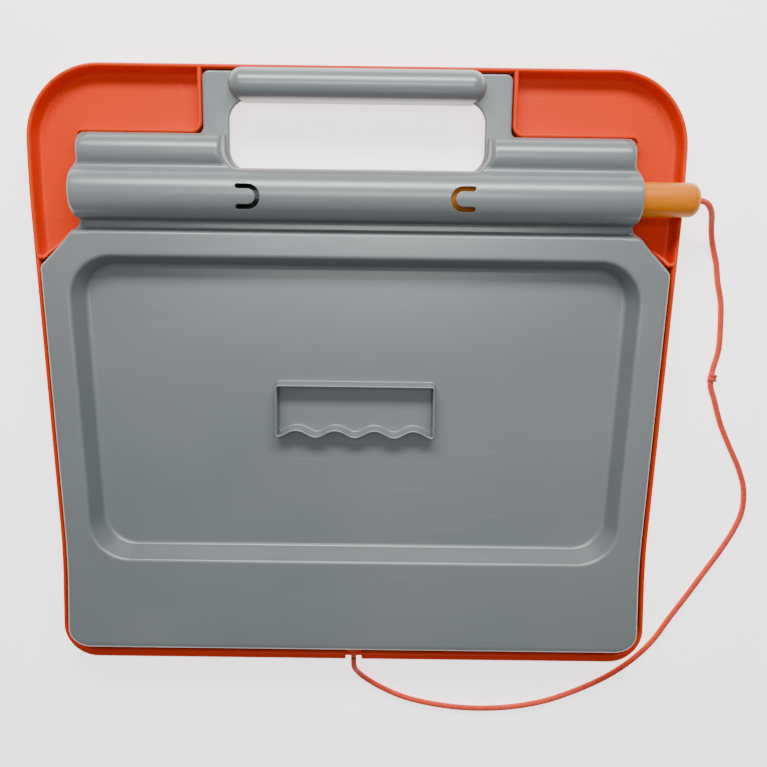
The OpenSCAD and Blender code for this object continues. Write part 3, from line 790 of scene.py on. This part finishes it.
def stadium(d, n=16):
    r, x = 8.9 - d, 66.1
    right = [(x + r * math.cos(a), 174 + r * math.sin(a)) for a in
             (-math.pi / 2 + math.pi * k / n for k in range(n + 1))]
    return right + [(-p[0], 348 - p[1]) for p in right]


plate = rounded([(-91, 182.1, 4.2, 8), (-91, 146.0, 4.5, 8), (-99, 146.0, 0.3, 1), (-99, 122, 0.3, 1),
                 (99, 122, 0.3, 1), (99, 146.0, 0.3, 1), (91, 146.0, 4.5, 8), (91, 182.1, 4.2, 8)])
plate_path = [(0.0, 6.9), (0.0, 18.8), (0.1, 19.3), (0.35, 19.65), (0.7, 19.9), (1.2, WEB)]
cover.loops([[(x, y, z) for x, y in offset(plate, d)] for d, z in plate_path], True, False)
cover.web(offset(plate, 1.2), [opening(1.3)], WEB)
cover.sweep(opening, [(1.3, WEB), (0.75, 19.88), (0.3, 19.5), (0.05, 19.0), (0.0, 18.4), (0.15, 17.95),
                      (0.5, 17.8), (2.2, 17.8), (2.2, 12.5), (4.2, 12.5), (4.2, 17.6), (14, 17.6)])

# handle bar: a hollow capsule with its lower rim under the web
bar = Skin()
bar_path = [(2.2, 22.0), (2.2, 13.0), (1.9, 12.6), (1.1, 12.45), (0.35, 12.6), (0.0, 13.1), (0.0, 24.5)]
bar_path += [(8.9 * (1 - math.cos(math.radians(a))), 24.5 + 8.9 * math.sin(math.radians(a)))
             for a in (7, 14, 21, 28, 36, 44, 52, 60, 68, 75, 81, 86, 89.5)]
bar.sweep(stadium, bar_path)
bar.web(stadium(2.2), [], 22.0, True)
bar.web(stadium(8.9 * (1 - math.cos(math.radians(89.5)))), [], 24.5 + 8.9 * math.sin(math.radians(89.5)))

cover.build("back_cover_shell", "board", GREY, 46.0, 0.012, ("back_cover",))
bar.build("carrying_bar", "board", GREY, 46.0, 0.004)


# ---------------------------------------------------------------- front frame
def board(d, foot=None):
    f = d if foot is None else foot
    return rounded(both([(-197 + d, 186.5 - d, 45 - d, 18), (-197 + d, 112, 600, 4),
                         (-188.5 + d, -114, 500, 4), (-190.8 + d, -187.1 + f, 22 - d, 14)]))


def notched(d, foot):
    """The outline as an open line that starts and ends at the cord notch in the foot."""
    pts = board(d, foot)
    half = len(pts) // 2
    y = -187.1 + foot
    return [(5.2, y)] + pts[half:] + pts[:half] + [(-5.2, y)]


shell = Skin()
bead = [(0.0, 11.4), (0.0, 15.9), (0.12, 16.6), (0.42, 17.3), (0.92, 17.8), (1.5, 18.0), (2.08, 17.8),
        (2.58, 17.3), (2.88, 16.6), (3.0, 15.9), (3.2, 11.4)]
foot_of = [d * 1.9 if d < 3.05 else 5.95 for d, z in bead]
rings = [[(x, y, z) for x, y in notched(d, f)] for (d, z), f in zip(bead, foot_of)]
shell.loops(rings, False, False)
for end in (0, -1):
    cap = [r[end] for r in rings]
    shell.add(cap, [tuple(range(len(cap)))[::(1 if end else -1)]])
shell.loops([[(x, y, z) for x, y in board(d, f)] for d, f, z in
             ((3.2, 5.95, 11.4), (3.5, 6.2, 9.4), (3.75, 6.4, 8.2), (4.3, 6.6, 7.4), (5.0, 6.8, 7.08),
              (6.2, 7.4, 7.0))], True, False)
shell.add([(-5.2, -187.1, 11.4), (5.2, -187.1, 11.4), (5.2, -181.1, 11.4), (-5.2, -181.1, 11.4)],
          [(0, 1, 2, 3)])
shell.sweep(board, [(2.2, 0.0), (1.3, 0.1), (0.6, 0.45), (0.15, 1.1), (0.0, 1.9), (0.0, 11.4)])


def ribbon(skin, line, heights, half_width=1.45, base=7.0, foot=1.2):
    """A wall with a rounded top along a line; heights runs from 0 to 1 along it."""
    section = [(-half_width - foot, 0.0), (-half_width - foot * 0.4, 0.25), (-half_width - 0.12, 1.0),
               (-half_width, 9.4), (-half_width * 0.92, 10.1), (-half_width * 0.66, 10.7),
               (-half_width * 0.3, 10.97), (half_width * 0.3, 10.97), (half_width * 0.66, 10.7),
               (half_width * 0.92, 10.1), (half_width, 9.4), (half_width + 0.12, 1.0),
               (half_width + foot * 0.4, 0.25), (half_width + foot, 0.0)]
    n = normals2(line)
    rings = [[(p[0] + n[i][0] * t, p[1] + n[i][1] * t, base + z * heights[i])
              for i, p in enumerate(line)] for t, z in section]
    skin.loops(rings, False, True)


def ease(t):
    t = min(1.0, max(0.0, t))
    return t * t * (3 - 2 * t)


for s in (-1, 1):
    # floor of the corner pocket
    curve = [q for q in board(6.2) if q[0] < -88 and q[1] > 66]
    flat = [(-88, 180.3)] + curve + [(-189.0, 64), (-160, 64), (-160, 140), (-88, 140)]
    flat = flat if s < 0 else [(-x, y) for x, y in reversed(flat)]
    shell.web(flat, [], 7.0)
    # wall beside the plate and the ridge, running out along the end of the ridge
    line = path2([(-93.15, 184.6, 0, 0), (-93.15, 148.2, 5.6, 9), (-167.5, 148.2, 4.0, 8),
                  (-167.5, 138, 0.1, 1), (-167.5, 133, 0.1, 1), (-167.6, 128, 0, 0)])
    tall = [1.0 if y > 146 else 1.0 - ease((144.5 - y) / 15) * 0.96 for x, y in line]
    if s > 0:
        line, tall = [(-x, y) for x, y in reversed(line)], tall[::-1]
    ribbon(shell, line, tall)
    # short wall at the lower end of the pocket
    line = path2([(-194.3, 78.5, 0, 0), (-193.6, 71.6, 3.2, 6), (-190.5, 72.6, 3.0, 6),
                  (-186.5, 76.8, 0.1, 1), (-182.0, 81.5, 0.1, 1), (-176.5, 87.3, 0, 0)])
    tall = [1.0 - ease((x + 190) / 13) * 0.96 for x, y in line]
    if s > 0:
        line, tall = [(-x, y) for x, y in reversed(line)], tall[::-1]
    ribbon(shell, line, tall, 1.2)
# faint round marks that the moulding pins left
pin_marks = ((-174.5, 168.5), (-104.5, 174.0), (107.5, 173.5),
             (176.0, 165.0), (-181.5, 100.0), (181.5, 100.0))
for x, y in pin_marks:
    rings = [[(x + r * math.cos(a), y + r * math.sin(a), z) for a in
              (2 * math.pi * k / 40 for k in range(40))] for r, z in
             ((3.75, 6.98), (3.6, 7.13), (3.4, 7.13), (3.2, 7.02), (2.0, 7.015))]
    shell.loops(rings, True, False)
    shell.web([(q[0], q[1]) for q in rings[-1]], [], 7.015)

# front face with the window, handle opening, eraser trough and two stamp trays
window_edge = box4(-148, 148, -98, 86, 8, 8)
groove = box4(-157, 157, -107, 95, 16, 10)
handle_ring = box4(-80.2, 80.2, 118.6, 170.6, 15, 10)
trough = box4(-150, 150, -155, -126, 6, 8)
slot_edge = box4(-132.8, 132.8, -144.5, -135.5, 4.45, 10)
tray = rounded([(-98.7, 179.7, 4, 6), (-190.3, 179.7, 37, 16), (-188.9, 80, 4, 6), (-177.2, 92.4, 6, 5),
                (-173, 98, 6, 5), (-172.6, 122, 30, 3), (-171, 153.6, 6, 6), (-98.7, 153.6, 4, 6)])
trays = [tray, [(-x, y) for x, y in reversed(tray)]]
outer_holes = [offset(groove, -1.0), offset(handle_ring, -1.2), offset(trough, -1.0)]
outer_holes += [offset(t, -0.7) for t in trays]
shell.web(board(2.2), outer_holes, 0.0, True)
shell.web(offset(groove, 1.0), [offset(window_edge, -3.6)], 0.0, True)


def rise(loop, path):
    shell.loops([[(x, y, z) for x, y in offset(loop, d)] for d, z in path], True, True)


rise(groove, [(-1.0, 0.0), (-0.75, 0.3), (-0.3, 0.5), (0.3, 0.5), (0.75, 0.3), (1.0, 0.0)])
rise(window_edge, [(-3.6, 0.0), (-3.0, 0.12), (-2.6, 0.4), (-0.35, 2.2),
                   (-0.1, 2.5), (0.0, 2.9), (0.0, 3.38)])
rise(handle_ring, [(-1.2, 0.0), (-0.6, 0.15), (-0.15, 0.6), (0.0, 1.2), (0.0, 11.0), (-0.25, 11.6),
                   (-0.7, 11.95), (-1.2, 12.0), (-1.7, 11.95), (-2.15, 11.6), (-2.4, 11.0), (-2.4, 3.0)])
rise(trough, [(-1.0, 0.0), (-0.5, 0.12), (-0.12, 0.5), (0.0, 1.0), (0.0, 5.0), (0.3, 5.7), (1.0, 6.0)])
shell.web(offset(trough, 1.0), [offset(slot_edge, -0.6)], 6.0, True)
rise(slot_edge, [(-0.6, 6.0), (-0.18, 6.18), (0.0, 6.6), (0.0, 8.6)])
for t in trays:
    rise(t, [(-0.7, 0.0), (-0.35, 0.1), (-0.05, 0.4), (0.0, 0.8), (0.05, 3.5), (0.35, 4.15), (1.0, 4.4)])
    shell.web(offset(t, 1.0), [], 4.4, True)
shell.build("front_frame_shell", "board", ORANGE, 42.0, 0.006, ("front_frame",))

# small upright tabs beside the cord notch
for s in (-1, 1):
    tab = Skin()
    block = box4(min(s * 5.3, s * 7.0), max(s * 5.3, s * 7.0), -185.6, -183.0, 0.6, 4)
    tab.loops([[(x, y, z) for x, y in offset(block, d)] for d, z in
               ((0.0, 15.0), (0.0, 17.9), (0.15, 18.3), (0.5, 18.5))], True, False)
    tab.web(offset(block, 0.5), [], 18.5)
    tab.build("notch_tab_" + ("left" if s < 0 else "right"), "board", ORANGE)


# ---------------------------------------------------------------- pen
pen = Skin()
turns = sorted([2 * math.pi * k / 64 for k in range(64) if k not in (16, 48)]
               + [math.pi / 2 + t for t in (-0.05, -0.018, -0.008, 0.008, 0.018, 0.05)]
               + [3 * math.pi / 2 + t for t in (-0.05, -0.018, -0.008, 0.008, 0.018, 0.05)])


def pen_ring(x, r, dip=1.0):
    out = []
    for a in turns:
        near_line = min(abs(a - math.pi / 2), abs(a - 3 * math.pi / 2))
        rr = r - (0.17 * dip if near_line < 0.012 else 0.0)
        out.append((x, 111 + rr * math.cos(a), 29.5 + rr * math.sin(a)))
    return out


pen_path = [(47.0, 8.0), (47.0, 9.3), (47.25, 9.75), (47.9, 9.97), (49.0, 10.0), (80.0, 10.0), (130.0, 10.0),
            (165.0, 10.0), (180.0, 10.0), (194.6, 10.0)]
pen_path += [(194.6 + 5.4 * math.sin(math.radians(a)), 4.6 + 5.4 * math.cos(math.radians(a)))
             for a in (10, 20, 30, 40, 50, 60, 70, 80, 90)]
pen_path += [(199.95, 3.2), (199.75, 2.65), (199.3, 2.35), (196.8, 2.3)]
pen.loops([pen_ring(x, r, 1.0 if r > 4 else 0.0) for x, r in pen_path], True, True)
pen.build("pen_barrel", "pen", PEN, 60.0, 0.002,
          ("pen_barrel_upper", "pen_barrel_lower"), False)


# ---------------------------------------------------------------- eraser knob
knob = Skin()
knob_edge = box4(-141, -115, -151, -129, 5, 8)


def ribs(x, y):
    deep = 0.0
    for c in (-134, -130, -126, -122):
        deep = max(deep, math.sqrt(max(0.0, 1.1 ** 2 - (x - c) ** 2)))
    return (x, y, 1.0 + 0.75 * deep * ease((8.6 - abs(y + 140)) / 1.4))


knob.loops([[(x, y, z) for x, y in offset(knob_edge, d)] for d, z in
            ((2.0, 5.6), (0.4, 5.55), (0.0, 5.2), (0.0, 2.8),
             (0.12, 2.1), (0.5, 1.5), (1.1, 1.1), (1.8, 1.0))],
           True, True)
knob.faces = [f[::-1] for f in knob.faces]
rib_points = [(-138 + 0.4 * i, -149 + 0.9 * j) for i in range(51) for j in range(21)]
knob.web(offset(knob_edge, 1.8), [], extra=rib_points, flip=True, lift=ribs)
knob.web(offset(knob_edge, 2.0), [], 5.6)
knob.loops([[(-128 + 4.1 * math.cos(a), -140 + 4.1 * math.sin(a), z) for a in
             (2 * math.pi * k / 32 for k in range(32))] for z in (5.5, 8.98)], True, False)
knob.build("eraser_knob_cap", "eraser", YELLOW, 40.0, 0.002, ("eraser_knob",))


# ---------------------------------------------------------------- knot on the cord and its end in the notch
def helix(centre, along, radius, turns_n, length, n):
    along = np.array(along, float) / np.linalg.norm(along)
    side = np.cross(along, (0, 0, 1.0))
    up = np.cross(side, along)
    out = []
    for k in range(n + 1):
        t = k / n
        a = 2 * math.pi * turns_n * t
        across = radius * (math.cos(a) * side + math.sin(a) * up)
        out.append(np.array(centre) + along * length * (t - 0.5) + across)
    return np.array(out)


knot = Skin()
coil = helix((227.9, 2.0, 3.15), (-1, -10, 0), 1.75, 1.9, 4.4, 60)
knot.loops(braided(coil, 1.3, 8, 5.0, 24, 0.14), True, False)
for ring in (braided(coil, 1.3, 8, 5.0, 24, 0.14)[0], braided(coil, 1.3, 8, 5.0, 24, 0.14)[-1]):
    fan = [(i, (i + 1) % len(ring), len(ring)) for i in range(len(ring))]
    knot.add(ring + [tuple(np.mean(ring, 0))], fan)
knot_piece = knot.build("tether_knot", "tether", CORD, 60.0, 0.0005, ("cord_mid_knot",), False)

stub = Skin()
stub_line = np.array([(0.0, -187.0 + 0.5 * k, 14.0) for k in range(24)])
stub.loops(braided(stub_line, 1.85), True, False)
stub.build("tether_end", "board", CORD, 60.0, 0.0005, ("cord_anchor_knot",), False)

# ---------------------------------------------------------------- materials of the CAD nodes that stay
looks = {"screen_gasket": SEAL, "screen_front_film": FILM, "screen_core": FILM,
         "screen_edge_seal": SEAL_WHITE, "screen_back_film": FILM,
         "clamp_top": CLAMP, "clamp_bottom": CLAMP, "clamp_left": CLAMP,
         "clamp_right": CLAMP, "clamp_screws": STEEL, "eraser_carriage": WHITE, "eraser_bar": WHITE,
         "eraser_magnet": MAGNET, "eraser_top_shoe": YELLOW, "knob_screw": STEEL, "bar_screws": STEEL,
         "pen_tip_holder": PEN, "pen_magnet_tip": TIP, "pen_stop_knot": CORD}
for name, look in looks.items():
    nodes[name].data.materials.clear()
    nodes[name].data.materials.append(look)

# ---------------------------------------------------------------- studio
STAGE_HALF = 20
STAGE_Z = -0.0003
STAGE_GLOW = 1.8
floor_look = Graph("floor_paper")
floor_look.finish((0.93, 0.93, 0.93), 0.9, Emission_Color=(1.0, 1.0, 1.0, 1.0), Emission_Strength=STAGE_GLOW)
floor_mesh = bpy.data.meshes.new("floor")
floor_sides = ((-1, -1), (1, -1), (1, 1), (-1, 1))
floor_corners = [(x * STAGE_HALF, y * STAGE_HALF, STAGE_Z) for x, y in floor_sides]
floor_mesh.from_pydata(floor_corners, [], [(0, 1, 2, 3)])
floor_mesh.materials.append(floor_look.mat)
floor = bpy.data.objects.new("floor", floor_mesh)
scene.collection.objects.link(floor)


def softbox(name, at, target, size, power, tint=(1.0, 1.0, 1.0)):
    lamp = bpy.data.lights.new(name, "AREA")
    lamp.shape = "RECTANGLE"
    lamp.size, lamp.size_y = size
    lamp.energy = power
    lamp.color = tint
    made = bpy.data.objects.new(name, lamp)
    made.location = at
    made.rotation_euler = (Vector(target) - Vector(at)).to_track_quat("-Z", "Y").to_euler()
    scene.collection.objects.link(made)


softbox("key", (0.0, 0.66, 0.58), (0.0, 0.03, 0.0), (0.8, 0.2), 11.5)
softbox("overhead", (0.0, 0.20, 0.95), (0.0, 0.08, 0.0), (0.5, 0.2), 2.6)
world = bpy.data.worlds.new("studio")
scene.world = world
world.use_nodes = True
world.node_tree.nodes["Background"].inputs[0].default_value = (1.0, 1.0, 1.0, 1.0)
world.node_tree.nodes["Background"].inputs[1].default_value = 0.26
